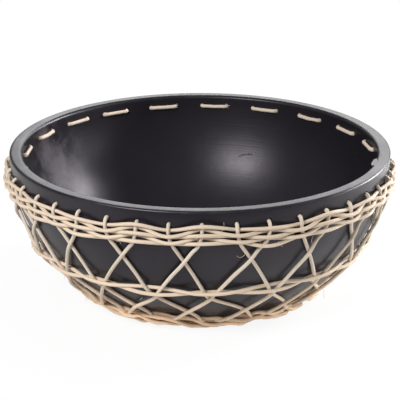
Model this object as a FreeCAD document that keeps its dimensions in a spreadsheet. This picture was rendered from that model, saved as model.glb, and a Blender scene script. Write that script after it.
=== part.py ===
import FreeCAD, Part
import math
import os
import Sketcher
from FreeCAD import Vector

# Woven fruit basket: a thick black pottery bowl in an open jacket of rattan cane.
#
# The frame: origin on the table at the middle of the flat foot, +Z up through the bowl's axis.
# A "turn" is an angle in degrees about +Z, from the front (-Y) towards the right (+X).
# A "drop" is a depth under the plane of the rim, measured on the outer wall.
# A "stand" is how far a cane's centre line stands off the outer wall, along the wall's normal.

SIZES = (
    ("outer_diameter", 300.0, "bowl across the rim"),
    ("bowl_height", 116.0, "foot to rim"),
    ("foot_diameter", 158.0, "where the round wall would meet the table"),
    ("wall", 10.0, "thickness of the wall and width of the rim"),
    ("floor", 11.0, "thickness of the floor"),
    ("foot_round", 10.0, "round between foot and wall"),
    ("rim_round", 1.8, "outer edge of the rim"),
    ("lip_round", 2.6, "inner edge of the rim"),
    ("basin_round", 60.0, "round between the inner wall and the floor"),
    ("hole_drop", 10.2, "rim to the ring of lacing holes, at the outer wall"),
    ("hole_rise", 1.0, "how far each hole rises on its way in"),
    ("hole_clearance", 0.9, "air round a stake in its hole"),
    ("stake_pairs", 20, "U-shaped stakes, two legs each"),
    ("stake_diameter", 2.75, "cane of the stakes"),
    ("weaver_diameter", 2.75, "cane of the band, ring and foot weavers"),
    ("cane_gap", 0.1, "air between canes that touch"),
    ("crossing_gap", 0.3, "air between two legs that cross on the slant"),
    ("stitch_sag", 0.8, "bow of the stitch inside the bowl"),
    ("stitch_elbow", 2.8, "bend of a stake where it turns into its stitch"),
    ("band_rows", 5, "rows of weaving under the rim"),
    ("row_pitch", 2.85, "from row to row of the band and of the middle ring"),
    ("band_lean", 1.0, "degrees that a leg leans by the last row of the band"),
    ("cross_drop", 42.0, "where the two legs of one stake cross"),
    ("ring_drop", 65.6, "upper weaver of the middle ring"),
    ("node_drop", 73.6, "where legs of neighbouring stakes cross"),
    ("low_cross_rise", 24.0, "height above the table of the lowest crossings"),
    ("foot_ring_rise", 9.5, "height above the table of the foot ring"),
    ("foot_ring_swing", 3.0, "how far the foot weavers swing up and down the wall"),
    ("tip_turn", 3.5, "stake tips to either side of the lowest crossing"),
    ("dive_room", 0.4, "air round the upper foot weaver where a stake dives behind it"),
    ("tip_length", 1.6, "what a stake tip shows past the middle of its dive"),
    ("butt_gap", 0.3, "air between the two ends of a weaver"),
)

doc = FreeCAD.newDocument("woven_fruit_basket")
sheet = doc.addObject("Spreadsheet::Sheet", "sizes")
for row, (alias, value, note) in enumerate(SIZES, start=1):
    sheet.set(f"A{row}", alias)
    sheet.set(f"B{row}", str(value))
    sheet.set(f"C{row}", note)
    sheet.setAlias(f"B{row}", alias)
doc.recompute()


def size(alias):
    return float(sheet.get(alias))


# ---------------------------------------------------------------- the bowl

def origin_part(body, role):
    return next(item for item in body.Origin.OriginFeatures if item.Role == role)


def new_sketch(body, name):
    sketch = body.newObject("Sketcher::SketchObject", name)
    sketch.AttachmentSupport = (origin_part(body, "XZ_Plane"), [""])
    sketch.MapMode = "FlatFace"
    return sketch


def arc(center, radius, start, end):
    circle = Part.Circle(center, Vector(0, 0, 1), radius)
    return Part.ArcOfCircle(circle, start, end)


def name_value(sketch, kind, parts, value, label, expression):
    """Add one dimension to the sketch and bind it to the sheet."""
    index = sketch.addConstraint(Sketcher.Constraint(kind, *parts, value))
    sketch.renameConstraint(index, label)
    sketch.setExpression(f"Constraints.{label}", expression)


def draw_bowl_profile(sketch):
    """Half section of the bowl in X (radius) and Z, from the foot round to the floor."""
    rim = size("outer_diameter") / 2
    height = size("bowl_height")
    reach = rim - size("foot_diameter") / 2
    side = (reach**2 + height**2) / (2 * reach)
    basin = side - size("wall")
    foot_r, rim_r = size("foot_round"), size("rim_round")
    lip_r, basin_r = size("lip_round"), size("basin_round")
    floor = size("floor")
    middle = Vector(rim - side, height, 0)

    def from_middle(distance, angle):
        return middle + Vector(distance * math.cos(angle), distance * math.sin(angle), 0)

    foot_angle = -math.asin((height - foot_r) / (side - foot_r))
    rim_angle = -math.asin(rim_r / (side - rim_r))
    lip_angle = -math.asin(lip_r / (basin + lip_r))
    basin_angle = -math.asin((height - floor - basin_r) / (basin - basin_r))
    foot_center = from_middle(side - foot_r, foot_angle)
    rim_center = from_middle(side - rim_r, rim_angle)
    lip_center = from_middle(basin + lip_r, lip_angle)
    basin_center = from_middle(basin - basin_r, basin_angle)
    down, up = -math.pi / 2, math.pi / 2

    base = sketch.addGeometry(Part.LineSegment(Vector(0, 0, 0), Vector(foot_center.x, 0, 0)))
    foot = sketch.addGeometry(arc(foot_center, foot_r, down, foot_angle))
    outside = sketch.addGeometry(arc(middle, side, foot_angle, rim_angle))
    edge = sketch.addGeometry(arc(rim_center, rim_r, rim_angle, up))
    top = sketch.addGeometry(
        Part.LineSegment(Vector(rim_center.x, height, 0), Vector(lip_center.x, height, 0)))
    lip = sketch.addGeometry(arc(lip_center, lip_r, up, math.pi + lip_angle))
    inside = sketch.addGeometry(arc(middle, basin, basin_angle, lip_angle))
    hollow = sketch.addGeometry(arc(basin_center, basin_r, down, basin_angle))
    bottom = sketch.addGeometry(
        Part.LineSegment(Vector(basin_center.x, floor, 0), Vector(0, floor, 0)))
    axis = sketch.addGeometry(Part.LineSegment(Vector(0, floor, 0), Vector(0, 0, 0)))

    start, end, center = 1, 2, 3
    origin = (-1, 1)
    joints = (
        (base, end, foot, start), (foot, end, outside, start), (outside, end, edge, start),
        (edge, end, top, start), (top, end, lip, start), (lip, end, inside, end),
        (inside, start, hollow, end), (hollow, start, bottom, start),
    )
    for joint in joints:
        sketch.addConstraint(Sketcher.Constraint("Tangent", *joint))
    for corner in ((bottom, end, axis, start), (axis, end, base, start), (base, start, *origin),
                   (inside, center, outside, center)):
        sketch.addConstraint(Sketcher.Constraint("Coincident", *corner))
    for line in (base, top, bottom):
        sketch.addConstraint(Sketcher.Constraint("Horizontal", line))
    sketch.addConstraint(Sketcher.Constraint("Vertical", axis))

    reach_text = "(sizes.outer_diameter - sizes.foot_diameter) / 2"
    side_text = f"({reach_text} * {reach_text} + sizes.bowl_height * sizes.bowl_height)"
    side_text = f"{side_text} / (2 * {reach_text})"
    name_value(sketch, "Radius", (outside,), side, "side_radius", side_text)
    name_value(sketch, "DistanceX", (*origin, outside, center), middle.x, "side_center",
               f"sizes.outer_diameter / 2 - {side_text}")
    name_value(sketch, "DistanceY", (*origin, outside, center), height, "side_height",
               "sizes.bowl_height")
    name_value(sketch, "Radius", (inside,), basin, "basin_radius", f"{side_text} - sizes.wall")
    name_value(sketch, "Radius", (foot,), foot_r, "foot_round", "sizes.foot_round")
    name_value(sketch, "Radius", (edge,), rim_r, "rim_round", "sizes.rim_round")
    name_value(sketch, "Radius", (lip,), lip_r, "lip_round", "sizes.lip_round")
    name_value(sketch, "Radius", (hollow,), basin_r, "basin_round", "sizes.basin_round")
    name_value(sketch, "DistanceY", (*origin, top, start), height, "rim_height",
               "sizes.bowl_height")
    name_value(sketch, "DistanceY", (*origin, bottom, end), floor, "floor", "sizes.floor")


def make_bowl():
    """A turned pottery bowl, and a ring of lacing holes under its rim that rise inwards."""
    body = doc.addObject("PartDesign::Body", "bowl")
    body.Label = "bowl"
    profile = new_sketch(body, "bowl_profile")
    draw_bowl_profile(profile)
    turned = body.newObject("PartDesign::Revolution", "turned_bowl")
    turned.Profile = profile
    turned.ReferenceAxis = (profile, ["V_Axis"])
    turned.Angle = 360
    doc.recompute()
    blank_volume = turned.Shape.Volume

    hole_sketch = new_sketch(body, "hole_sketch")
    hole_sketch.AttachmentOffset = FreeCAD.Placement(
        Vector(), FreeCAD.Rotation(Vector(-1, 0, 0), 1))
    hole_sketch.setExpression("AttachmentOffset.Rotation.Angle",
                              "atan(sizes.hole_rise / sizes.wall)")
    hole_sketch.setExpression("AttachmentOffset.Base.y",
                              "sizes.bowl_height - sizes.hole_drop + 2 * sizes.hole_rise")
    hole_sketch.setExpression("AttachmentOffset.Base.z",
                              "2 * sizes.wall - sizes.outer_diameter / 2")
    hole_radius = size("stake_diameter") / 2 + size("hole_clearance")
    hole = hole_sketch.addGeometry(Part.Circle(Vector(), Vector(0, 0, 1), hole_radius))
    hole_sketch.addConstraint(Sketcher.Constraint("Coincident", hole, 3, -1, 1))
    name_value(hole_sketch, "Radius", (hole,), hole_radius, "hole_radius",
               "sizes.stake_diameter / 2 + sizes.hole_clearance")
    drilled = body.newObject("PartDesign::Pocket", "lacing_hole")
    drilled.Profile = hole_sketch
    drilled.Type = "Length"
    drilled.setExpression("Length", "3 * sizes.wall")
    doc.recompute()
    if drilled.Shape.Volume >= blank_volume:
        raise RuntimeError("the first lacing hole cuts nothing")

    ring = body.newObject("PartDesign::PolarPattern", "hole_ring")
    ring.Originals = [drilled]
    ring.Axis = (origin_part(body, "Z_Axis"), [""])
    ring.Angle = 360
    ring.setExpression("Occurrences", "2 * sizes.stake_pairs")
    body.Tip = ring
    doc.recompute()
    check_holes(ring.Shape)
    return body, profile


def check_holes(solid):
    """Stop if the middle of any lacing hole is still filled."""
    near = 0.01
    holes = int(2 * size("stake_pairs"))
    radius = (size("outer_diameter") - size("wall")) / 2
    height = size("bowl_height") - size("hole_drop") + size("hole_rise") / 2
    for number in range(holes):
        turn_on = FreeCAD.Rotation(Vector(0, 0, 1), number * 360 / holes)
        if solid.isInside(turn_on.multVec(Vector(0, -radius, height)), near, True):
            raise RuntimeError(f"lacing hole {number + 1} is not cut")


bowl, bowl_profile = make_bowl()
side_radius = bowl_profile.getDatum("side_radius").Value
side_center = bowl_profile.getDatum("side_center").Value


# ------------------------------------------------- places on and off the wall

def wall_angle(drop):
    """Angle of the wall's normal under the horizontal, at a depth under the rim."""
    return math.asin(drop / side_radius)


def off_wall(turn, angle, stand):
    """A point at a turn, on the wall's normal of that angle, at a stand off the wall."""
    radius = side_center + (side_radius + stand) * math.cos(angle)
    height = size("bowl_height") - (side_radius + stand) * math.sin(angle)
    across = math.radians(turn)
    return Vector(radius * math.sin(across), -radius * math.cos(across), height)


def round_the_bowl(turn):
    """Unit vector along a ring, towards growing turns."""
    return Vector(math.cos(math.radians(turn)), math.sin(math.radians(turn)), 0)


def outward(turn):
    return Vector(math.sin(math.radians(turn)), -math.cos(math.radians(turn)), 0)


# The layers that canes lie in, off the wall: a weaver behind the stakes, the stakes
# themselves, and a weaver in front of the stakes.
stake_radius = size("stake_diameter") / 2
weaver_radius = size("weaver_diameter") / 2
gap = size("cane_gap")
behind = weaver_radius + gap
on_weaver = behind + weaver_radius + gap + stake_radius
in_front = on_weaver + stake_radius + gap + weaver_radius
on_wall = stake_radius + 3 * gap
on_stake = on_wall + 2 * stake_radius + gap
front_of_tip = on_wall + stake_radius + gap + weaver_radius

pair_turn = 360 / size("stake_pairs")
hole_turn = pair_turn / 2
weaver_elbow = stake_radius + weaver_radius + gap
first_row_drop = size("hole_drop") + weaver_elbow
band_rise = size("row_pitch") * (size("band_rows") - 1)


def lean(drop):
    """Degrees that a leg has leaned away from its hole, at a depth within the band."""
    return size("band_lean") * ((drop - first_row_drop) / band_rise) ** 2


# --------------------------------------------------------------- cane routes

def directions(stops):
    """Give every stop a direction: its own, or that of the circle through its neighbours."""
    points = [point for point, direction in stops]
    chords = [after - before for before, after in zip(points, points[1:])]
    found = []
    for index, (point, direction) in enumerate(stops):
        if direction is None and 0 < index < len(points) - 1:
            before, after = chords[index - 1], chords[index]
            direction = before * (after.Length / before.Length)
            direction = direction + after * (before.Length / after.Length)
        elif direction is None:
            direction = chords[min(index, len(chords) - 1)]
        found.append(Vector(direction).normalize())
    return points, found


def two_arcs(point, heading, next_point, next_heading):
    """Two tangent arcs that leave one stop and reach the next along their headings."""
    same_heading, nearly_straight = 1e-9, 0.999999
    chord = next_point - point
    bend = 2 * (1 - heading.dot(next_heading))
    along = chord.dot(heading + next_heading)
    square = chord.dot(chord)
    if bend < same_heading:
        leg = square / (2 * along)
    else:
        leg = (math.sqrt(along * along + bend * square) - along) / bend
    near, far = point + heading * leg, next_point - next_heading * leg
    joint = (near + far) * 0.5
    edges = []
    for start, corner, end in ((point, near, joint), (joint, far, next_point)):
        half_way = (start + end) * 0.5
        share = (end - start).Length / 2 / leg
        if share > nearly_straight:
            edges.append(Part.LineSegment(start, end))
        else:
            crown = half_way + (corner - half_way) * (share / (1 + share))
            edges.append(Part.Arc(start, crown, end))
    return edges


canes = []


def lay_cane(label, stops, diameter_alias):
    """Sweep a round cane along its stops, as tangent arcs and straight runs."""
    points, headings = directions(stops)
    edges = []
    for index in range(len(points) - 1):
        edges += two_arcs(points[index], headings[index], points[index + 1], headings[index + 1])
    route = doc.addObject("Part::Feature", f"{label}_route")
    route.Shape = Part.Wire([edge.toShape() for edge in edges])
    section = doc.addObject("Part::Circle", f"{label}_section")
    section.setExpression("Radius", f"sizes.{diameter_alias} / 2")
    facing = FreeCAD.Rotation(Vector(0, 0, 1), headings[0])
    section.Placement = FreeCAD.Placement(points[0], facing)
    cane = doc.addObject("Part::Sweep", label)
    cane.Label = label
    cane.Sections = [section]
    cane.Spine = (route, [])
    cane.Solid = True
    cane.Placement = FreeCAD.Placement()
    canes.append((cane, route, diameter_alias))


def lay_ring(label, stops):
    """A weaver laid once round the bowl, its two ends butted behind a stake."""
    first, last = stops[0][0], stops[-1][0]
    trim = math.degrees(size("butt_gap") / 2 / math.hypot(first.x, first.y))
    turn_back = FreeCAD.Rotation(Vector(0, 0, 1), trim)
    turn_on = FreeCAD.Rotation(Vector(0, 0, 1), -trim)
    stops[0] = (turn_back.multVec(first), stops[0][1])
    stops[-1] = (turn_on.multVec(last), stops[-1][1])
    lay_cane(label, stops, "weaver_diameter")


# ------------------------------------------------------------------- stakes

def leg(center, side, cross_stand, node_stand, low_stand):
    """Stops of one leg, from its hole down to its tip.

    side is +1 for the leg that leaves the right hole and slants down to the left, and
    -1 for the leg that leaves the left hole and slants down to the right.
    """
    holes = center + side * hole_turn / 2
    low_drop = size("bowl_height") - size("low_cross_rise")
    foot_angle = wall_angle(size("bowl_height") - size("foot_ring_rise"))
    dive = (size("foot_ring_swing") - stake_radius + size("dive_room")) / side_radius
    slope = (pair_turn / 2) / (size("node_drop") - size("cross_drop"))

    def slanted(drop):
        return center - side * slope * (drop - size("cross_drop"))

    def leaning(drop):
        return off_wall(holes - side * lean(drop), wall_angle(drop), on_weaver)

    lower_ring_drop = size("ring_drop") + size("row_pitch")
    tip = center - side * (pair_turn + size("tip_turn"))
    end = size("tip_length") / side_radius
    return [
        (leaning(first_row_drop), Vector(0, 0, -1)),
        (leaning(first_row_drop + band_rise / 2), None),
        (leaning(first_row_drop + band_rise), None),
        (off_wall(center, wall_angle(size("cross_drop")), cross_stand), None),
        (off_wall(slanted(size("ring_drop")), wall_angle(size("ring_drop")), on_weaver), None),
        (off_wall(slanted(lower_ring_drop), wall_angle(lower_ring_drop), on_weaver), None),
        (off_wall(center - side * pair_turn / 2, wall_angle(size("node_drop")), node_stand), None),
        (off_wall(center - side * pair_turn, wall_angle(low_drop), low_stand), None),
        (off_wall(tip, foot_angle - dive, on_weaver + gap), None),
        (off_wall(tip, foot_angle + dive, on_wall), None),
        (off_wall(tip, foot_angle + dive + end, on_wall), None),
    ]


def reversed_stops(stops):
    turned = []
    for point, direction in reversed(stops):
        turned.append((point, None if direction is None else direction * -1))
    return turned


def stitch(center):
    """Stops of the part of a stake inside the bowl: in by one hole and out by the next."""
    drop = size("hole_drop")
    rim = size("outer_diameter") / 2
    rise = size("hole_rise") / size("wall")
    wall_radius = math.sqrt(side_radius**2 - drop**2) + side_center
    inner_drop = drop - size("hole_rise")
    bore = math.sqrt((side_radius - size("wall")) ** 2 - inner_drop**2) + side_center
    lie = bore - on_wall
    elbow = size("stitch_elbow")
    elbow_turn = math.degrees(elbow / lie)
    right, left = center + hole_turn / 2, center - hole_turn / 2

    def at(turn, radius, sag=0.0):
        height = size("bowl_height") - drop + rise * (rim - radius) - sag
        return outward(turn) * radius + Vector(0, 0, height)

    def along_hole(turn):
        return outward(turn) - Vector(0, 0, rise)

    return [
        (at(right, wall_radius + behind), along_hole(right) * -1),
        (at(right, lie + elbow), along_hole(right) * -1),
        (at(right - elbow_turn, lie), round_the_bowl(right) * -1),
        (at(center, lie, size("stitch_sag")), round_the_bowl(center) * -1),
        (at(left + elbow_turn, lie), round_the_bowl(left) * -1),
        (at(left, lie + elbow), along_hole(left)),
        (at(left, wall_radius + behind), along_hole(left)),
    ]


def make_stakes():
    """Each stake is one cane: a stitch inside the rim and two crossing legs outside."""
    node_low = on_weaver - stake_radius
    node_high = node_low + 2 * stake_radius + size("crossing_gap")
    for number in range(1, int(size("stake_pairs")) + 1):
        center = (number - 1) * pair_turn - hole_turn / 2
        left_going = leg(center, +1, on_stake, node_high, on_stake)
        right_going = leg(center, -1, on_wall, node_low, on_wall)
        stops = reversed_stops(left_going) + stitch(center) + right_going
        lay_cane(f"stake_{number:02d}", stops, "stake_diameter")


# ------------------------------------------------------------------ weavers

def make_band():
    """Rows of plain weaving under the rim: in front of one leg and behind the next."""
    legs = int(2 * size("stake_pairs"))
    for row in range(int(size("band_rows"))):
        drop = first_row_drop + row * size("row_pitch")
        angle = wall_angle(drop)
        first = 1 if row % 2 == 0 else 0
        stops = []
        for index in range(legs + 1):
            hole = first + index
            turn = hole * hole_turn + (lean(drop) if hole % 2 else -lean(drop))
            stand = behind if index % 2 == 0 else in_front
            stops.append((off_wall(turn, angle, stand), round_the_bowl(turn)))
        lay_ring(f"band_weaver_{row + 1}", stops)


def make_middle_ring():
    """Two weavers that hold the crossing legs: at each node one lies in front, one behind."""
    pairs = int(size("stake_pairs"))
    slope = (pair_turn / 2) / (size("node_drop") - size("cross_drop"))
    for row in range(2):
        drop = size("ring_drop") + row * size("row_pitch")
        angle = wall_angle(drop)
        spread = slope * (size("node_drop") - drop)
        first = 1 if row == 0 else 0
        stops = []
        for index in range(pairs + 1):
            node = hole_turn / 2 + (first + index) * pair_turn
            stand = behind if index % 2 == 0 else in_front
            for turn in (node - spread, node + spread):
                stops.append((off_wall(turn, angle, stand), round_the_bowl(turn)))
        lay_ring(f"ring_weaver_{row + 1}", stops[:-1])


def make_foot_ring():
    """Two weavers twisted round each other over the stake tips, half a twist per pair.

    At each pair of tips one weaver lies on the wall above, under the stakes, and the
    other lies in front of the tips below. Between the pairs the upper one comes out to
    the front and down, and the lower one goes in behind it and up.
    """
    pairs = int(size("stake_pairs"))
    angle = wall_angle(size("bowl_height") - size("foot_ring_rise"))
    swing = size("foot_ring_swing") / side_radius
    middle = (behind + front_of_tip) / 2 + gap
    depth = (front_of_tip - behind) / 2
    top_of_twist = hole_turn / 2
    stop_shares = (0.0, 0.15, 0.3, 0.5, 0.7, 0.8, 0.9)
    for row in range(2):
        stops = []
        for index in range(pairs):
            sign = 1 if index % 2 == 0 else -1
            start = (row + index) * pair_turn - hole_turn - top_of_twist
            for share in stop_shares:
                rise = sign * swing * swung(share)
                stand = middle + sign * depth * sunk(share)
                stops.append((off_wall(start + share * pair_turn, angle - rise, stand), None))
        closing = start + pair_turn
        stops.append((off_wall(closing, angle, behind), None))
        lay_ring(f"foot_weaver_{row + 1}", stops)


def swung(share):
    """Rise of a foot weaver above the ring's middle over one half twist, flat on top."""
    flatness = 0.15
    wave = math.sin(math.pi * share) + flatness * math.sin(3 * math.pi * share)
    return wave / (1 - flatness)


def sunk(share):
    """Depth of a foot weaver over one half twist: behind until past the tips, then out."""
    leaves, arrives = 0.68, 0.96
    step = min(max((share - leaves) / (arrives - leaves), 0), 1)
    return -1 + 2 * step * step * (3 - 2 * step)


make_stakes()
make_band()
make_middle_ring()
make_foot_ring()
doc.recompute()


# ------------------------------------------------------------ check and write

def check(item):
    """Stop if an object failed to recompute or holds no sound shape."""
    if "Invalid" in item.State or "Error" in item.State:
        raise RuntimeError(f"{item.Label} did not recompute: {item.State}")
    if hasattr(item, "Shape") and (item.Shape.isNull() or not item.Shape.isValid()):
        raise RuntimeError(f"{item.Label} has no valid shape")


for item in doc.Objects:
    if item.TypeId not in ("App::Origin", "App::Line", "App::Plane", "App::Point"):
        check(item)
volume_share_off = 0.005
for cane, route, diameter_alias in canes:
    expected = route.Shape.Length * math.pi * size(diameter_alias) ** 2 / 4
    if abs(cane.Shape.Volume - expected) > volume_share_off * expected:
        raise RuntimeError(f"{cane.Label} is not its section times its length")

os.makedirs("parts", exist_ok=True)
for piece in [bowl] + [cane for cane, route, diameter_alias in canes]:
    piece.Shape.exportStep(f"parts/{piece.Label}.step")
    box = piece.Shape.BoundBox
    print(f"{piece.Label}: {len(piece.Shape.Solids)} solid, {piece.Shape.Volume:.0f} mm3, "
          f"z {box.ZMin:.2f} to {box.ZMax:.2f}, half width {box.XMax:.1f}")
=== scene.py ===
import math
import random

import bpy
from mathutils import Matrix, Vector, noise


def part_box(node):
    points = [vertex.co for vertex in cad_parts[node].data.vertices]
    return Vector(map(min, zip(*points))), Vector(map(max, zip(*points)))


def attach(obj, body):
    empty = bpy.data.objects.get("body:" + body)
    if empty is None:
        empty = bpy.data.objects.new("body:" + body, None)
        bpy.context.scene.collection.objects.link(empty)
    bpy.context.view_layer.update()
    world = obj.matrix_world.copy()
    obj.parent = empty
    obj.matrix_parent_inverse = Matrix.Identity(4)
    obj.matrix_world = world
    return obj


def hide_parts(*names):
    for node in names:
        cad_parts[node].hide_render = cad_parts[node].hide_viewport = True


# A woven fruit basket: a thick black pottery bowl in an open jacket of rattan cane.
# Metres. The axis of the bowl is +Z and its flat foot stands at the origin. A "turn" is an
# angle in degrees from the front (-Y) towards the right (+X), a "drop" is a depth under
# the rim on the outer wall, and a "stand" is how far a cane's centre is off that wall.

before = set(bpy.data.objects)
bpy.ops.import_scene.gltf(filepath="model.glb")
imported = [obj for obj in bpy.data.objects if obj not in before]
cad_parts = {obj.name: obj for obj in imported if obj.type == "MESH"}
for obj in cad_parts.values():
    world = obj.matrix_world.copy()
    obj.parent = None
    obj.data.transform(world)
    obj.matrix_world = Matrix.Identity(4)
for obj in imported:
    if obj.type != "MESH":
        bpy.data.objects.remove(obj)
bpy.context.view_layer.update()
bpy.ops.object.select_all(action="DESELECT")


# ------------------------------------------------------------------ the camera
# It looks down on the bowl from a little over its rim, a long lens at about a metre.

bowl_low, bowl_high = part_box("bowl")
rim_radius = (bowl_high.x - bowl_low.x) / 2
bowl_height = bowl_high.z

camera_distance = 7.77 * rim_radius
camera_elevation = math.radians(18.08)
camera_turn = math.radians(-0.7)
aim_height = 0.0696
level_distance = camera_distance * math.cos(camera_elevation)
camera_place = Vector((level_distance * math.sin(camera_turn),
                       -level_distance * math.cos(camera_turn),
                       bowl_height + camera_distance * math.sin(camera_elevation)))
look = Vector((0.0, 0.0, aim_height)) - camera_place
bpy.ops.object.camera_add(location=camera_place, rotation=look.to_track_quat("-Z", "Y").to_euler())
camera = bpy.context.object
camera.name = "product_camera"
camera.data.lens = 132.4
camera.data.sensor_width = 36.0
bpy.context.scene.camera = camera


# -------------------------------------------------------------------- the bowl
# A thick-walled pot, raised on a wheel, with a flat rim and a flat foot. It is stained black
# all through and rubbed to a satin. Forty holes under the rim, drilled before it was
# finished, take the cane.

MM = 0.001
foot_diameter = 158 * MM
wall = 10 * MM
floor = 11 * MM
foot_round = 10 * MM
rim_round = 1.8 * MM
lip_round = 2.6 * MM
basin_round = 60 * MM
hole_drop = 10.2 * MM
hole_rise = 1.0 * MM
hole_radius = 2.275 * MM
stake_pairs = 20
hole_turn = 180 / stake_pairs

reach = rim_radius - foot_diameter / 2
side_radius = (reach ** 2 + bowl_height ** 2) / (2 * reach)
side_center = rim_radius - side_radius

# The holes were spaced by eye. Degrees that each pair of holes has strayed, round the bowl
# from the front towards the right; more at the back, where the spacing was made up.
strayed = (-0.15, 0.25, 0.55, 0.45, -1.2, -5.4, -3.4, -3.2, -2.6, -2.0,
           -1.5, -0.9, -0.5, -2.0, -1.8, -1.2, 2.0, 0.6, -0.15, 0.0)

# A run of the finish has dried over the inner edge of the rim: its turn, its length along the
# rim, how far it reaches into the hollow, its depth, its round edge, and how little its top
# lies under the rim.
run_turn = 71.7
run_length = 16 * MM
run_reach = 2.1 * MM
run_depth = 3.6 * MM
run_edge = 1.1 * MM
run_step = 0.08 * MM


def hole_place(hole):
    """Turn of a hole, numbered from the front one towards the right."""
    pair = (hole + 1) // 2 % stake_pairs
    return hole * hole_turn + strayed[pair]


def arc_points(center, radius, start, end, steps):
    """Points of an arc in the bowl's half section, as (radius, height)."""
    points = []
    for step in range(steps + 1):
        angle = start + (end - start) * step / steps
        points.append((center[0] + radius * math.cos(angle),
                       center[1] + radius * math.sin(angle)))
    return points


def from_middle(distance, angle):
    """A point seen from the centre of the side's arc."""
    return side_center + distance * math.cos(angle), bowl_height + distance * math.sin(angle)


def bowl_section():
    """Half section of the bowl, from the middle of the foot round to the middle of the floor."""
    basin = side_radius - wall
    foot_angle = -math.asin((bowl_height - foot_round) / (side_radius - foot_round))
    rim_angle = -math.asin(rim_round / (side_radius - rim_round))
    lip_angle = -math.asin(lip_round / (basin + lip_round))
    basin_angle = -math.asin((bowl_height - floor - basin_round) / (basin - basin_round))
    middle = (side_center, bowl_height)
    down, up = -math.pi / 2, math.pi / 2
    foot = from_middle(side_radius - foot_round, foot_angle)
    rim = from_middle(side_radius - rim_round, rim_angle)
    lip = from_middle(basin + lip_round, lip_angle)
    hollow = from_middle(basin - basin_round, basin_angle)
    section = [(foot[0] * share, 0.0) for share in (0.0, 0.3, 0.6, 0.85)]
    section += arc_points(foot, foot_round, down, foot_angle, steps=8)
    section += arc_points(middle, side_radius, foot_angle, rim_angle, steps=44)[1:]
    section += arc_points(rim, rim_round, rim_angle, up, steps=7)[1:]
    across_rim = lip[0] - rim[0]
    section += [(rim[0] + across_rim * share, bowl_height) for share in (0.25, 0.5, 0.75)]
    section += arc_points(lip, lip_round, up, math.pi + lip_angle, steps=8)
    section += arc_points(middle, basin, lip_angle, basin_angle, steps=34)[1:]
    section += arc_points(hollow, basin_round, basin_angle, down, steps=16)[1:]
    section += [(hollow[0] * share, floor) for share in (0.75, 0.5, 0.25, 0.0)]
    return section


def spin_bowl():
    """One corner of a plane is drawn out along the half section and spun about the axis."""
    section = bowl_section()
    bpy.ops.mesh.primitive_plane_add(size=rim_round, location=(section[0][0], 0, section[0][1]))
    bowl = bpy.context.object
    bpy.ops.object.transform_apply(location=True, rotation=True, scale=True)
    bpy.ops.object.mode_set(mode="EDIT")
    bpy.ops.mesh.select_all(action="SELECT")
    bpy.ops.mesh.merge(type="CENTER")
    for before, after in zip(section, section[1:]):
        step = (after[0] - before[0], 0, after[1] - before[1])
        bpy.ops.mesh.extrude_vertices_move(TRANSFORM_OT_translate={"value": step})
    bpy.ops.mesh.select_all(action="SELECT")
    bpy.ops.mesh.spin(steps=360, angle=2 * math.pi, center=(0, 0, 0), axis=(0, 0, 1))
    bpy.ops.mesh.select_all(action="SELECT")
    bpy.ops.mesh.remove_doubles(threshold=0.02 * MM)
    bpy.ops.mesh.normals_make_consistent(inside=False)
    bpy.ops.object.mode_set(mode="OBJECT")
    return bowl


def cut_or_join(bowl, other, operation):
    """Apply one boolean with another object to the bowl, and remove the other object."""
    bpy.ops.object.select_all(action="DESELECT")
    bowl.select_set(True)
    bpy.context.view_layer.objects.active = bowl
    bpy.ops.object.modifier_add(type="BOOLEAN")
    bowl.modifiers[-1].object = other
    bowl.modifiers[-1].operation = operation
    bpy.ops.object.modifier_apply(modifier=bowl.modifiers[-1].name)
    bpy.data.objects.remove(other)


def drill_holes(bowl):
    """Forty drill bits in one mesh, each tilted by the hole's rise, are cut out of the wall."""
    tilt = math.atan2(hole_rise, wall)
    bits = []
    for number in range(2 * stake_pairs):
        turn = math.radians(hole_place(number))
        outward = Vector((math.sin(turn), -math.cos(turn), 0))
        place = outward * (rim_radius - wall / 2)
        place.z = bowl_height - hole_drop + hole_rise / 2
        bpy.ops.mesh.primitive_cylinder_add(
            vertices=24, radius=hole_radius, depth=3 * wall, location=place,
            rotation=(math.pi / 2 + tilt, 0, turn))
        bits.append(bpy.context.object)
    for bit in bits:
        bit.select_set(True)
    bpy.ops.object.join()
    cut_or_join(bowl, bpy.context.object, "DIFFERENCE")


def add_run(bowl):
    """A rounded tongue of the finish, level with the rim, dried over its inner edge."""
    turn = math.radians(run_turn)
    place = Vector((math.sin(turn), -math.cos(turn), 0)) * (rim_radius - wall)
    place.z = bowl_height - run_step - run_depth / 2
    bpy.ops.object.select_all(action="DESELECT")
    bpy.ops.mesh.primitive_cylinder_add(
        vertices=40, radius=1.0, depth=run_depth, location=place,
        rotation=(0, 0, turn), scale=(run_length / 2, run_reach, 1.0))
    run = bpy.context.object
    bpy.ops.object.transform_apply(location=True, rotation=True, scale=True)
    bpy.ops.object.modifier_add(type="BEVEL")
    run.modifiers[-1].width = run_edge
    run.modifiers[-1].segments = 5
    bpy.ops.object.modifier_apply(modifier=run.modifiers[-1].name)
    cut_or_join(bowl, run, "UNION")


bowl = spin_bowl()
drill_holes(bowl)
add_run(bowl)
bowl.name = "black_bowl"
bpy.ops.object.shade_smooth_by_angle(angle=math.radians(35))


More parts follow.
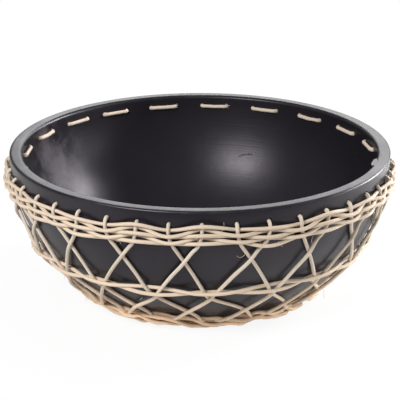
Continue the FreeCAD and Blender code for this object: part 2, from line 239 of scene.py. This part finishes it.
class Finish:
    """A finish under way: one material, and methods that add nodes to it."""

    def __init__(self, name):
        self.material = bpy.data.materials.new(name)
        self.material.use_nodes = True
        self.nodes = self.material.node_tree.nodes
        self.links = self.material.node_tree.links
        self.surface = self.nodes["Principled BSDF"]

    def plug(self, socket, value):
        """Link a value into a socket, or set the socket to a plain number or colour."""
        if isinstance(value, Value):
            self.links.new(value.socket, socket)
        else:
            socket.default_value = value

    def give(self, **settings):
        """Give the surface its settings, with _ for a space in their names."""
        for name, value in settings.items():
            self.plug(self.surface.inputs[name.replace("_", " ")], value)

    def node(self, kind, settings=None, values=None, out=0):
        """Add a node, set it up, fill its sockets, and give one of its outputs as a value."""
        node = self.nodes.new(kind)
        for name, setting in (settings or {}).items():
            setattr(node, name, setting)
        for name, value in (values or {}).items():
            self.plug(node.inputs[name], value)
        return Value(self, node.outputs[out])

    def split(self, vector):
        """The three parts of a vector, as values."""
        parts = self.node("ShaderNodeSeparateXYZ", None, {"Vector": vector}).socket.node.outputs
        return [Value(self, parts[axis]) for axis in "XYZ"]

    def place(self):
        """Where a point lies on the object, in metres."""
        return self.node("ShaderNodeTexCoord", out="Object")

    def mix(self, factor, first, second):
        """A colour between two colours. The node's colours are its sockets 6 and 7, and 2 out."""
        return self.node("ShaderNodeMix", {"data_type": "RGBA"},
                         {"Factor": factor, 6: first, 7: second}, out=2)

    def noise(self, where, scale, detail, roughness):
        return self.node("ShaderNodeTexNoise", None, {
            "Vector": where, "Scale": scale, "Detail": detail, "Roughness": roughness})

    def relief(self, *layers):
        """Lay bumps over one another, each (pattern, depth in millimetres, strength)."""
        below = None
        for pattern, depth, strength in layers:
            values = {"Height": pattern, "Distance": depth * MM, "Strength": strength}
            if below is not None:
                values["Normal"] = below
            below = self.node("ShaderNodeBump", None, values)
        self.give(Normal=below)


class Value:
    """A socket that takes part in sums as a number does."""

    def __init__(self, finish, socket):
        self.finish = finish
        self.socket = socket

    def maths(self, operation, *others):
        """Add a Math node that works on this value and others."""
        return self.finish.node("ShaderNodeMath", {"operation": operation},
                                dict(enumerate((self, *others))))

    def __add__(self, other):
        return self.maths("ADD", other)

    def __mul__(self, other):
        return self.maths("MULTIPLY", other)

    def __sub__(self, other):
        return self.maths("SUBTRACT", other)

    def __rsub__(self, other):
        return (self * -1) + other

    def __pow__(self, other):
        return self.maths("POWER", other)

    def rise(self, low, high):
        """0 under low, 1 over high, and smooth between."""
        return self.finish.node("ShaderNodeMapRange", {"interpolation_type": "SMOOTHSTEP"}, {
            "Value": self, "From Min": low, "From Max": high})

    def between(self, low, high):
        """Spread a value that runs from 0 to 1 over another range."""
        return self * (high - low) + low


def make_black_glaze():
    """Satin black, cloudy where hands and cloths have rubbed it, greyer on the worn edges, with
    smudges on the left inner wall that are rougher and carry a painted glow.
    """
    finish = Finish("satin_black")
    where = finish.place()
    across, along, height = finish.split(where)
    radius = (across * across + along * along) ** 0.5

    clouds = finish.noise(where, 9.0, 4.0, 0.55)
    patches = finish.noise(where, 32.0, 4.0, 0.6)
    mottle = finish.noise(where, 60.0, 3.0, 0.6)
    grain = finish.noise(where, 900.0, 2.0, 0.6)
    in_section = finish.node("ShaderNodeCombineXYZ", None, {"X": radius * 6.0, "Y": height * 6.0})
    turning = finish.noise(in_section, 120.0, 3.0, 0.6)

    def ball(x, y, z, full, none):
        """1 up to one distance from a place on the bowl, and 0 past another."""
        away = ((across - x) ** 2 + (along - y) ** 2 + (height - z) ** 2) ** 0.5
        return 1 - away.rise(full, none)

    def crease(x, z, length, slope):
        """A short wavering line pressed into the far inner wall."""
        waver = finish.noise(where, 90.0, 3.0, 0.6).between(-3 * MM, 3 * MM)
        off_line = (height - z - (across - x) * slope + waver).maths("ABSOLUTE")
        inside = 1 - (across - x).maths("ABSOLUTE").rise(length * 0.35, length * 0.5)
        far_wall = along.rise(0.05, 0.06)
        return (1 - off_line.rise(0.1 * MM, 0.7 * MM)) * inside * far_wall

    # On the left inner wall the glaze is smudged. It is rougher there, and a lighter grey there is a
    # painted glow of reflected light.
    left_inside = ball(-0.114, 0.055, 0.086, full=0.014, none=0.048)
    smudges_and_glow = finish.noise(where, 45.0, 5.0, 0.65).rise(0.38, 0.66) * left_inside
    creases = crease(0.042, 0.067, 14 * MM, 0.25) + crease(-0.044, 0.081, 5 * MM, 0.5)
    near_rim = height.rise(bowl_height - 2.6 * MM, bowl_height - 0.4 * MM)
    off_middle = (radius - (rim_radius - wall / 2)).maths("ABSOLUTE")
    worn = near_rim * off_middle.rise(3.2 * MM, 4.6 * MM) * mottle.rise(0.35, 0.7)

    black, cloud_black = (0.0105, 0.0095, 0.0122, 1), (0.0150, 0.0138, 0.0170, 1)
    # The second grey is the lighter colour of the painted glow on the left inner wall.
    worn_grey, smudge_glow_grey = (0.060, 0.057, 0.058, 1), (0.085, 0.075, 0.090, 1)
    colour = finish.mix(clouds.rise(0.3, 0.7), black, cloud_black)
    colour = finish.mix(worn * 0.35, colour, worn_grey)
    colour = finish.mix(smudges_and_glow * 0.9, colour, smudge_glow_grey)
    roughness = clouds.between(0.26, 0.38) + mottle.between(-0.03, 0.03)
    roughness = roughness + patches.between(-0.07, 0.07) + smudges_and_glow * 0.07
    finish.give(Base_Color=colour, Roughness=roughness,
                Specular_IOR_Level=0.295, Specular_Tint=(0.97, 0.90, 1.0, 1))
    finish.relief((grain, 0.06, 0.35), (turning, 0.25, 0.25), (creases, 0.3, 0.45),
                  (patches, 0.5, 0.22), (clouds, 1.2, 0.20))
    return finish.material


bowl.data.materials.clear()
bowl.data.materials.append(make_black_glaze())
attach(bowl, "root")
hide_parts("bowl")


# ------------------------------------------------------------------ the stakes
# Twenty lengths of round rattan cane. Each is bent into a U over the wall between two
# holes: its stitch lies inside the rim and its two legs cross one another outside, cross
# their neighbours' legs at the middle ring and again over the foot, and end in the foot ring.

stake_radius = 1.375 * MM
weaver_radius = 1.375 * MM
cane_gap = 0.1 * MM
stitch_sag = 0.25 * MM
stitch_elbow = 2.8 * MM
band_rows = 5
row_pitch = 2.85 * MM
band_lean = 1.0
# Where a pair's legs cross, the upper row of the middle ring, where neighbours' legs cross,
# and where they cross again over the foot.
cross_drop = 42.0 * MM
ring_drop = 65.6 * MM
node_drop = 73.6 * MM
low_cross_rise = 25.5 * MM

# The cane was worked wet, so where canes cross they have bedded into one another. These are
# the stands of all the canes, from the wall outwards.
bedded = 0.6 * MM
behind = weaver_radius
on_weaver = behind + weaver_radius + stake_radius - bedded
in_front = on_weaver + stake_radius + weaver_radius - bedded
on_wall = stake_radius + 3 * cane_gap
on_stake = on_wall + 2 * stake_radius - bedded
node_low = on_weaver - stake_radius
node_high = node_low + 2 * stake_radius - bedded

pair_turn = 360 / stake_pairs
first_row_drop = hole_drop + stake_radius + weaver_radius + cane_gap
band_rise = row_pitch * (band_rows - 1)
band_middle = first_row_drop + band_rise / 2
band_end = band_middle + 2.2 * row_pitch
peg_drop = hole_drop + 2.4 * MM
peg_stand = 2.7 * MM
peg_flare = 0.35
legs_slope = (pair_turn / 2) / (node_drop - cross_drop)
unevenness = 0.06
hand = random.Random(11)


def wall_angle(drop):
    """Angle under the rim, seen from the centre of the side's arc."""
    return math.asin(drop / side_radius)


def off_wall(turn, angle, stand):
    """A point at a turn, on the wall's normal of that angle, at a stand off the wall."""
    radius = side_center + (side_radius + stand) * math.cos(angle)
    height = bowl_height - (side_radius + stand) * math.sin(angle)
    across = math.radians(turn)
    return Vector((radius * math.sin(across), -radius * math.cos(across), height))


def outward(turn):
    """The level heading away from the axis at a turn."""
    return Vector((math.sin(math.radians(turn)), -math.cos(math.radians(turn)), 0))


def round_the_bowl(turn):
    """The level heading towards higher turns."""
    return Vector((math.cos(math.radians(turn)), math.sin(math.radians(turn)), 0))


def lean(drop):
    """Degrees that a leg has leaned away from its hole, at a depth within the band."""
    return band_lean * ((drop - first_row_drop) / band_rise) ** 2


# The crossings were pulled to and fro as the cane was tied. Degrees at the front ones: the
# middle ring's, numbered from the one just right of the front, and the lowest ones, numbered
# from the one just left of it.
ring_pull = {-2: -2.7, -1: -2.0, 0: -2.3, 1: 0.4}
low_pull = {-1: -3.2, 0: -1.4, 1: 1.7, 2: 1.0}
# Elsewhere they stray at random, by about so many degrees.
ring_play, low_play = 0.6, 0.9
loose = [(hand.gauss(0, ring_play), hand.gauss(0, low_play)) for pair in range(stake_pairs)]

# The stops of a leg's tip: degrees past the lowest crossing, millimetres over the table, and
# stand. A leg that slants left lies on the others and ends farther on than one that slants right.
left_tip = ((4.6, 16.6, on_stake), (7.6, 12.4, on_weaver), (10.4, 9.6, on_wall), (13.0, 8.4, on_wall))
right_tip = ((3.9, 18.0, on_wall + 2 * cane_gap), (6.1, 13.6, on_weaver), (7.0, 11.6, on_weaver))


def numbered(count, total):
    """Number from the front: up on the right, down on the left."""
    return (count + total // 2) % total - total // 2


def ring_node(count):
    """Turn of a crossing at the middle ring."""
    return hole_turn / 2 + count * pair_turn + ring_pull.get(
        numbered(count, stake_pairs), loose[count % stake_pairs][0])


def low_node(count):
    """Turn of one of the lowest crossings."""
    return -hole_turn / 2 + count * pair_turn + low_pull.get(
        numbered(count, stake_pairs), loose[count % stake_pairs][1])


def leg(number, side, cross_stand, node_stand, low_stand):
    """Stops of one leg, from its hole down to its tip: a place each, and a heading if it's set.

    side is +1 for a leg that slants left and -1 for one that slants right.
    """
    holes = {side: hole_place(2 * (number - 1) - (side < 0)) for side in (1, -1)}
    nodes = {1: ring_node(number - 2), -1: ring_node(number - 1)}
    low_drop = bowl_height - low_cross_rise
    node = nodes[side]
    low = low_node(number - 1 - side)
    run = {way: holes[way] - way * band_lean - nodes[way] for way in (1, -1)}
    cross_share = (holes[1] - holes[-1] - 2 * band_lean) / (run[1] - run[-1])
    slack = hand.uniform(0.0, 0.5) * MM

    def leaning(drop, stand=on_weaver):
        """A point on the leg within the band."""
        return off_wall(holes[side] - side * lean(drop), wall_angle(drop), stand)

    def on_leg(share, stand=on_weaver):
        """A point on the straight run from the band down to the middle ring."""
        drop = band_end + (node_drop - band_end) * share
        return off_wall(node + run[side] * (1 - share), wall_angle(drop), stand)

    def ring_share(row):
        """Share of the straight run at which a row of the middle ring crosses it."""
        return (ring_drop + row * row_pitch - band_end) / (node_drop - band_end)

    low_place = off_wall(low, wall_angle(low_drop), low_stand)
    stops = [
        (leaning(peg_drop, peg_stand), Vector((0, 0, -1)) + outward(holes[side]) * peg_flare),
        (leaning(band_middle), None),
        (leaning(band_end), None),
        (on_leg(cross_share * 0.4, on_wall + stake_radius / 2), None),
        (on_leg(cross_share, cross_stand), None),
        (on_leg((cross_share + ring_share(0)) / 2, (cross_stand + on_wall) / 2 + slack), None),
        (on_leg(ring_share(0)), None),
        (on_leg(ring_share(1)), None),
        (off_wall(node, wall_angle(node_drop), node_stand), low_place - on_leg(ring_share(0))),
        (low_place, None),
    ]
    for past, rise, stand in left_tip if side > 0 else right_tip:
        angle = wall_angle(bowl_height - rise * MM)
        stops.append((off_wall(low - side * past, angle, stand), None))
    return stops


def stitch(number):
    """Stops of the part of a stake inside the bowl: in by one hole and out by the next."""
    rise = hole_rise / wall
    wall_radius = math.sqrt(side_radius ** 2 - hole_drop ** 2) + side_center
    inner_drop = hole_drop - hole_rise
    bore = math.sqrt((side_radius - wall) ** 2 - inner_drop ** 2) + side_center
    lie = bore - on_wall
    elbow_turn = math.degrees(stitch_elbow / lie)
    right, left = hole_place(2 * (number - 1)), hole_place(2 * (number - 1) - 1)
    center = (right + left) / 2
    sag = stitch_sag + hand.gauss(0, 0.2) * MM

    def at(turn, radius, sag=0.0):
        """A point on the slant of the holes, or a sag under it."""
        height = bowl_height - hole_drop + rise * (rim_radius - radius) - sag
        return outward(turn) * radius + Vector((0, 0, height))

    def along_hole(turn):
        """The heading out through a hole."""
        return outward(turn) - Vector((0, 0, rise))

    return [
        (at(right, wall_radius - cane_gap), -along_hole(right)),
        (at(right, lie + stitch_elbow), -along_hole(right)),
        (at(right - elbow_turn, lie), -round_the_bowl(right)),
        (at(center, lie, sag), -round_the_bowl(center)),
        (at(left + elbow_turn, lie), -round_the_bowl(left)),
        (at(left, lie + stitch_elbow), along_hole(left)),
        (at(left, wall_radius - cane_gap), along_hole(left)),
    ]


def lay_cane(name, stops, radius, swelling=()):
    """Lay a round cane along its stops, a curve with a bevel, and make it a mesh.

    swelling holds (number of the stop, share of the plain radius) where the cane is thicker.
    """
    places = [place for place, heading in stops]
    chords = [after - before for before, after in zip(places, places[1:])]
    curve = bpy.data.curves.new(name, "CURVE")
    curve.dimensions = "3D"
    curve.bevel_depth = radius
    curve.bevel_resolution = 3
    curve.resolution_u = 10
    curve.use_fill_caps = True
    spline = curve.splines.new("BEZIER")
    spline.bezier_points.add(len(stops) - 1)
    for index, (place, heading) in enumerate(stops):
        before = chords[max(index - 1, 0)]
        after = chords[min(index, len(chords) - 1)]
        if heading is None:
            ratio = after.length / before.length
            heading = before * ratio + after * (before.length / after.length)
        heading = heading.normalized()
        point = spline.bezier_points[index]
        point.handle_left_type = "FREE"
        point.handle_right_type = "FREE"
        point.co = place
        point.handle_left = place - heading * before.length / 3
        point.handle_right = place + heading * after.length / 3
        point.radius = dict(swelling).get(index, 1) + hand.uniform(-unevenness, unevenness)
    cane = bpy.data.objects.new(name, curve)
    bpy.context.scene.collection.objects.link(cane)
    bpy.ops.object.select_all(action="DESELECT")
    cane.select_set(True)
    bpy.context.view_layer.objects.active = cane
    bpy.ops.object.convert(target="MESH")
    bpy.ops.object.shade_smooth_by_angle(angle=math.radians(50))
    return cane


def mark_length(cane, stops):
    """Stretch the cane's map so that it runs in metres along the cane, from a start of its own."""
    places = [place for place, heading in stops]
    length = sum((after - before).length for before, after in zip(places, places[1:]))
    start = hand.uniform(0, 40)
    for corner in cane.data.uv_layers[0].data:
        corner.uv = (corner.uv.x, start + corner.uv.y * length)


def make_rattan(name, pale, deep, speckle, soaking=0.42):
    """Peeled rattan: long fine fibres, a tone that drifts along the cane, and brown flecks.

    soaking is how far the lower cane, soaked longest, goes over to a warmer tone.
    """
    finish = Finish(name)
    mapped = finish.node("ShaderNodeUVMap", {"uv_map": "UVMap"})
    round_share, along, _ = finish.split(mapped)
    around = round_share * (2 * math.pi)
    side, front = around.maths("SINE"), around.maths("COSINE")

    def streaks(round_scale, long_scale, detail, roughness):
        """Noise stretched along the cane, that closes on itself round it."""
        stretched = finish.node("ShaderNodeCombineXYZ", None, {
            "X": side * round_scale, "Y": front * round_scale, "Z": along * long_scale})
        return finish.noise(stretched, 1.0, detail, roughness)

    fibres = streaks(5.0, 45.0, 4.0, 0.65)
    fine_fibres = streaks(14.0, 160.0, 2.0, 0.6)
    drift = streaks(0.15, 9.0, 2.0, 0.5)
    blush = streaks(0.2, 23.0, 1.0, 0.5)
    straw = streaks(0.3, 14.0, 2.0, 0.5)
    fleck = streaks(2.5, 210.0, 2.0, 0.5)

    x, y, height = finish.split(finish.place())
    radius = (x * x + y * y) ** 0.5
    soaked = 1 - height.rise(0.015, 0.065)
    high_up = soaked.rise(0.01, 0.0)
    stitches = high_up * (1 - radius.rise(0.139, 0.141))

    soaked_tint, stitch_tint = (0.86, 0.61, 0.41, 1), (0.78, 0.63, 0.54, 1)
    blush_tint, straw_tint = (0.58, 0.42, 0.33, 1), (0.60, 0.54, 0.34, 1)
    tone = finish.mix(drift.rise(0.32, 0.68), pale, deep)
    for share, tint in ((soaked * soaking, soaked_tint),
                        (stitches * 0.45, stitch_tint),
                        (blush.rise(0.50, 0.70) * 0.6, blush_tint),
                        (straw.rise(0.55, 0.72) * 0.5, straw_tint),
                        (fibres.rise(0.50, 0.78) * 0.45, speckle),
                        (fleck.rise(0.70, 0.80) * 0.6, speckle)):
        tone = finish.mix(share, tone, tint)
    finish.give(Base_Color=tone, Roughness=fibres.between(0.48, 0.72), Specular_IOR_Level=0.3)
    finish.relief((fibres, 0.16, 0.6), (fine_fibres, 0.07, 0.5))
    return finish.material


# The stitches are flattened on the wall, and the cane fills its holes.
stitch_swelling = (1.08, 1.36, 1.13, 1.12, 1.13, 1.36, 1.08)
stake_rattan = make_rattan("stake_rattan", pale=(0.625, 0.555, 0.458, 1),
                           deep=(0.565, 0.474, 0.390, 1), speckle=(0.36, 0.25, 0.16, 1))

for number in range(1, stake_pairs + 1):
    left_going = leg(number, +1, on_stake, node_high, on_stake)
    right_going = leg(number, -1, on_wall, node_low, on_wall)
    up_the_leg = [(place, None if heading is None else -heading)
                  for place, heading in reversed(left_going)]
    stops = up_the_leg + stitch(number) + right_going
    swelling = [(len(up_the_leg) + index, share) for index, share in enumerate(stitch_swelling)]
    stake = lay_cane(f"rattan_stake_{number:02d}", stops, stake_radius, swelling)
    mark_length(stake, stops)
    stake.data.materials.append(stake_rattan)
    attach(stake, "root")
    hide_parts(f"stake_{number:02d}")


# -------------------------------------------------------------- the band under the rim
# Five rows of plain weaving in the same size of rattan, a little yellower: each goes in front
# of one leg and behind the next. They are packed by hand, so they wander up and down.

weaver_rattan = make_rattan("weaver_rattan", pale=(0.675, 0.568, 0.445, 1),
                            deep=(0.605, 0.482, 0.375, 1), speckle=(0.36, 0.25, 0.165, 1))

# Over an even hole three rows lie in front and the band spreads; over an odd hole only two do,
# the first row has to duck under the stake's bend, and the rows close up.
spread_pitch, closed_pitch = 3.1 * MM, 2.5 * MM
spread_shift, closed_shift = -1.1 * MM, 1.1 * MM
duck = 1.2 * MM
# Away from these holes at the front the band is more even, and shifts by a smaller share.
uneven_holes = range(-3, 5)
evened = 0.6
# How far the whole band has been pushed down at the front holes, in millimetres.
pushed_down = {-6: 0.7, -5: 0.7, -4: 1.3, -3: 0.2, -2: -1.3, -1: -0.6, 0: -2.0,
               1: -1.1, 2: 2.1, 3: 0.3, 4: -0.5, 5: 0.7}
# A drift is read off the noise on a circle of this radius, one step higher for each row.
drift_radius, drift_step = 3.2, 7.3


def wander(turn, row, farthest):
    """A smooth drift, another for each row, that closes on itself after one turn."""
    at = outward(turn) * drift_radius
    return noise.noise(Vector((at.x, at.y, drift_step * row))) * farthest


def row_drop(hole, row):
    """Depth of one row of the band at one hole."""
    turn = hole * hole_turn
    counted = numbered(hole, 2 * stake_pairs)
    pitch, shift = (closed_pitch, closed_shift) if hole % 2 else (spread_pitch, spread_shift)
    if counted not in uneven_holes:
        pitch, shift = (pitch + row_pitch) / 2, shift * evened
    push = pushed_down[counted] * MM if counted in pushed_down else wander(turn, 0, 2.2 * MM)
    from_middle_row = (row - band_rows // 2) * pitch
    return band_middle + shift + push + from_middle_row + wander(turn * 3, row, 0.5 * MM)


for row in range(band_rows):
    stops = []
    first = 1 if row % 2 == 0 else 0
    for index in range(2 * stake_pairs + 1):
        hole = first + index
        drop = row_drop(hole, row)
        turn = hole_place(hole) + (lean(drop) if hole % 2 else -lean(drop))
        stand = behind if index % 2 == 0 else in_front
        if row == 0 and hole % 2 == 0:
            stand -= duck
        stops.append((off_wall(turn, wall_angle(drop), stand), None))
    weaver = lay_cane(f"rattan_band_{row + 1}", stops, weaver_radius)
    mark_length(weaver, stops)
    weaver.data.materials.append(weaver_rattan)
    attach(weaver, "root")
    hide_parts(f"band_weaver_{row + 1}")


# ------------------------------------------------------------------ the middle ring
# Two weavers of the band's rattan at half height. Where neighbouring stakes cross, one lies in
# front of both legs and the other behind them, and they change places at the next crossing.

ring_rows = 2
ring_drift = 9

for row in range(ring_rows):
    drop = ring_drop + row * (row_pitch - bedded)
    spread = legs_slope * (node_drop - drop)
    first = 1 if row == 0 else 0
    stops = []
    for index in range(stake_pairs + 1):
        node = ring_node(first + index)
        stand = behind if index % 2 == 0 else in_front
        for turn in (node - spread, node + spread):
            angle = wall_angle(drop + wander(turn, ring_drift + row, 0.7 * MM))
            stops.append((off_wall(turn, angle, stand), None))
    weaver = lay_cane(f"rattan_ring_{row + 1}", stops[:-1], weaver_radius)
    mark_length(weaver, stops)
    weaver.data.materials.append(weaver_rattan)
    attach(weaver, "root")
    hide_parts(f"ring_weaver_{row + 1}")


# ------------------------------------------------------------------- the foot ring
# A border of rattan over the ends of the stakes: four strands twisted round one another, and
# three laid straight behind and between them, dark brown as painted shade in the gaps. It was
# soaked longest and handled most, and is browner than the rest.

foot_rattan = make_rattan("foot_rattan", pale=(0.95, 0.68, 0.47, 1),
                          deep=(0.60, 0.385, 0.23, 1), speckle=(0.26, 0.15, 0.08, 1))
# Painted shade: the straight strands are dark brown to stand for the shadow behind and between the
# twisted ones.
painted_shade_rattan = make_rattan("painted_shade_foot_rattan", pale=(0.40, 0.26, 0.155, 1),
                           deep=(0.20, 0.125, 0.075, 1), speckle=(0.12, 0.07, 0.04, 1), soaking=0.0)
twisted_strands = 4
solid_weavers = 2
strand_radius = weaver_radius * 1.08
foot_rise = 9.8 * MM
foot_swing = 3.6 * MM
foot_clear = 2.2 * MM
foot_middle = (behind + in_front) / 2
foot_depth = (in_front - behind) * 0.62
steps_per_pair = 5
# Rise and stand of each straight strand.
straight_strands = ((8.6 * MM, behind), (5.8 * MM, behind), (7.6 * MM, foot_middle))
# Rows of the drift: one for the whole ring's push, and one per strand for each of the rest.
push_row, rise_row, swing_row, phase_row, stand_row = 50, 30, 20, 40, 60
# How far the whole ring has been pushed up at some turns of the front, in millimetres.
pushed_up = ((-60, 0.0), (-50, 0.5), (-37, 1.7), (-20, 3.0), (-8, 1.6),
             (4, 0.0), (19, 3.0), (29, 2.4), (41, -1.2), (55, 0.0))


def foot_push(turn):
    """How far the foot ring has been pushed up at a turn."""
    turn = (turn + 180) % 360 - 180
    for (before, low), (after, high) in zip(pushed_up, pushed_up[1:]):
        if before <= turn < after:
            share = (turn - before) / (after - before)
            return (low + (high - low) * share * share * (3 - 2 * share)) * MM
    return wander(turn, push_row, 1.6 * MM)


for row in range(twisted_strands + len(straight_strands)):
    stops = []
    twisted = row < twisted_strands
    for step in range(stake_pairs * steps_per_pair + 1):
        turn = 180 - hole_turn / 2 + step * pair_turn / steps_per_pair
        if twisted:
            phase = 2 * math.pi * (step / steps_per_pair + row) / twisted_strands
            phase += wander(turn * 2, phase_row + row, 1.3)
            swing = foot_swing + wander(turn * 2, swing_row + row, 2.8 * MM)
            rise = foot_rise + swing * math.cos(phase) + wander(turn * 3, rise_row + row, 1.8 * MM)
            stand = foot_middle + foot_depth * math.sin(phase)
            stand += wander(turn * 3, stand_row + row, 1.2 * MM)
        else:
            rise, stand = straight_strands[row - twisted_strands]
            rise += wander(turn * 3, rise_row + row, 1.0 * MM)
        rise += foot_push(turn)
        place = off_wall(turn, wall_angle(bowl_height - rise), stand)
        place.z = max(place.z, foot_clear)
        stops.append((place, None))
    weaver = lay_cane(f"rattan_foot_{row + 1}", stops, strand_radius)
    mark_length(weaver, stops)
    # The straight strands take the dark brown of painted shade, and the twisted ones take the foot
    # rattan.
    weaver.data.materials.append(foot_rattan if twisted else painted_shade_rattan)
    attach(weaver, "root")
    if row < solid_weavers:
        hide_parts(f"foot_weaver_{row + 1}")


# ------------------------------------------------------------------ stray fibres
# Hairs of rattan that have lifted off the cane: one stands above the band, three hang and
# curl below it, and dozens of short ones lie about the band and the rings. They are loose at
# one end, and joined into one piece.

hair_radius = 0.1 * MM
hair_steps = 6
hair_lift = 0.3
short_hairs = 46
# Short hairs come loose within these degrees of the front, at these depths in millimetres.
hair_span = 90
hair_drops = (16, 25, 66, 72, 98)


def fibre(turn, drop, heading, curl, length):
    """A hair that leaves the cane at a heading, in degrees up from the ring, and curls."""
    place = off_wall(turn, wall_angle(drop), in_front)
    side, up, out = round_the_bowl(turn), Vector((0, 0, 1)), outward(turn)
    stops = []
    for step in range(hair_steps + 1):
        stops.append((place, None))
        way = math.radians(heading + curl * step)
        onward = side * math.cos(way) + up * math.sin(way) + out * hair_lift
        place = place + onward.normalized() * (length / hair_steps)
    hair = lay_cane("rattan_fibre", stops, hair_radius)
    mark_length(hair, stops)
    return hair


hairs = [fibre(4.4, 13.5 * MM, 52, 9, 10 * MM), fibre(11.0, 26.5 * MM, -70, -32, 12 * MM),
         fibre(13.6, 24.5 * MM, -30, 38, 10 * MM), fibre(20.5, 23.5 * MM, -80, 8, 5 * MM)]
for number in range(short_hairs):
    turn = hand.choice((-1, 1)) * hair_span * hand.uniform(0, 1) ** 0.5
    drop = hand.choice(hair_drops) * MM
    heading, curl = hand.uniform(0, 360), hand.uniform(-25, 25)
    hairs.append(fibre(turn, drop, heading, curl, hand.uniform(3, 8) * MM))
bpy.ops.object.select_all(action="DESELECT")
for hair in hairs:
    hair.select_set(True)
bpy.context.view_layer.objects.active = hairs[0]
bpy.ops.object.join()
fibres = bpy.context.object
fibres.name = "rattan_fibres"
fibres.data.materials.append(weaver_rattan)
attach(fibres, "root")


# ------------------------------------------------------------------ floor and light
# A white table and a pale room. Two soft lamps hang at the right and at the left, a low panel
# stands at the right and a wide one behind.

bpy.ops.object.select_all(action="DESELECT")
bpy.ops.mesh.primitive_plane_add(size=8, location=(0, 0, 0))
table = bpy.context.object
table.name = "white_table"

# For the camera the table glows white, all of it far off and nine tenths near the bowl, which
# leaves the bowl's faint shadow. For other light it's a white card that fades to grey in front.
card, faded_card = (0.88, 0.88, 0.88, 1), (0.15, 0.15, 0.15, 1)
table_finish = Finish("white_table")
table_x, table_y, _ = table_finish.split(table_finish.place())
ahead = table_y.rise(-0.25, -0.45)
far_off = ((table_x * table_x + table_y * table_y) ** 0.5).rise(0.35, 0.7)
table_finish.give(Base_Color=table_finish.mix(ahead, card, faded_card),
                  Roughness=0.9, Specular_IOR_Level=0.0)
to_camera = table_finish.node("ShaderNodeLightPath", out="Is Camera Ray")
glow = table_finish.node("ShaderNodeEmission", None, {"Color": (1, 1, 1, 1), "Strength": 1.0})
blend = table_finish.node("ShaderNodeMixShader", None, {
    "Fac": to_camera * far_off.between(0.9, 1.0),
    1: Value(table_finish, table_finish.surface.outputs["BSDF"]), 2: glow})
table_finish.plug(table_finish.nodes["Material Output"].inputs["Surface"], blend)
table.data.materials.append(table_finish.material)


def hang_lamp(name, turn, elevation, distance, width, height, power):
    """A rectangular soft lamp that faces the bowl from a turn and an elevation."""
    level = distance * math.cos(math.radians(elevation))
    above_rim = distance * math.sin(math.radians(elevation))
    place = outward(turn) * level + Vector((0, 0, above_rim + bowl_height))
    facing = (Vector((0, 0, bowl_height / 2)) - place).to_track_quat("-Z", "Y").to_euler()
    bpy.ops.object.light_add(type="AREA", location=place, rotation=facing)
    lamp = bpy.context.object
    lamp.name = name
    lamp.data.shape = "RECTANGLE"
    lamp.data.size = width
    lamp.data.size_y = height
    lamp.data.energy = power


# Turn, elevation, distance, width, height and power.
hang_lamp("right_softbox", 117, 20.6, 1.02, 0.48, 0.30, 12.8)
hang_lamp("left_softbox", -36, 35, 1.17, 0.50, 0.34, 13.2)
hang_lamp("right_panel", 100, 5, 1.0, 1.0, 0.28, 5.4)
hang_lamp("back_panel", 165, 22, 1.2, 1.28, 0.4, 6.0)

# The room lights the bowl dimly, and the camera sees it white.
room_strength, seen_strength = 0.3, 1.0
world = bpy.data.worlds.new("pale_room")
bpy.context.scene.world = world
world.use_nodes = True
room_nodes = world.node_tree.nodes
room_links = world.node_tree.links
room = room_nodes["Background"]
backdrop = room_nodes.new("ShaderNodeBackground")
for background, strength in ((room, room_strength), (backdrop, seen_strength)):
    background.inputs["Color"].default_value = (1.0, 1.0, 1.0, 1)
    background.inputs["Strength"].default_value = strength
ray = room_nodes.new("ShaderNodeLightPath")
choice = room_nodes.new("ShaderNodeMixShader")
room_links.new(ray.outputs["Is Camera Ray"], choice.inputs["Fac"])
room_links.new(room.outputs["Background"], choice.inputs[1])
room_links.new(backdrop.outputs["Background"], choice.inputs[2])
room_links.new(choice.outputs["Shader"], room_nodes["World Output"].inputs["Surface"])

bpy.context.scene.view_settings.view_transform = "Standard"
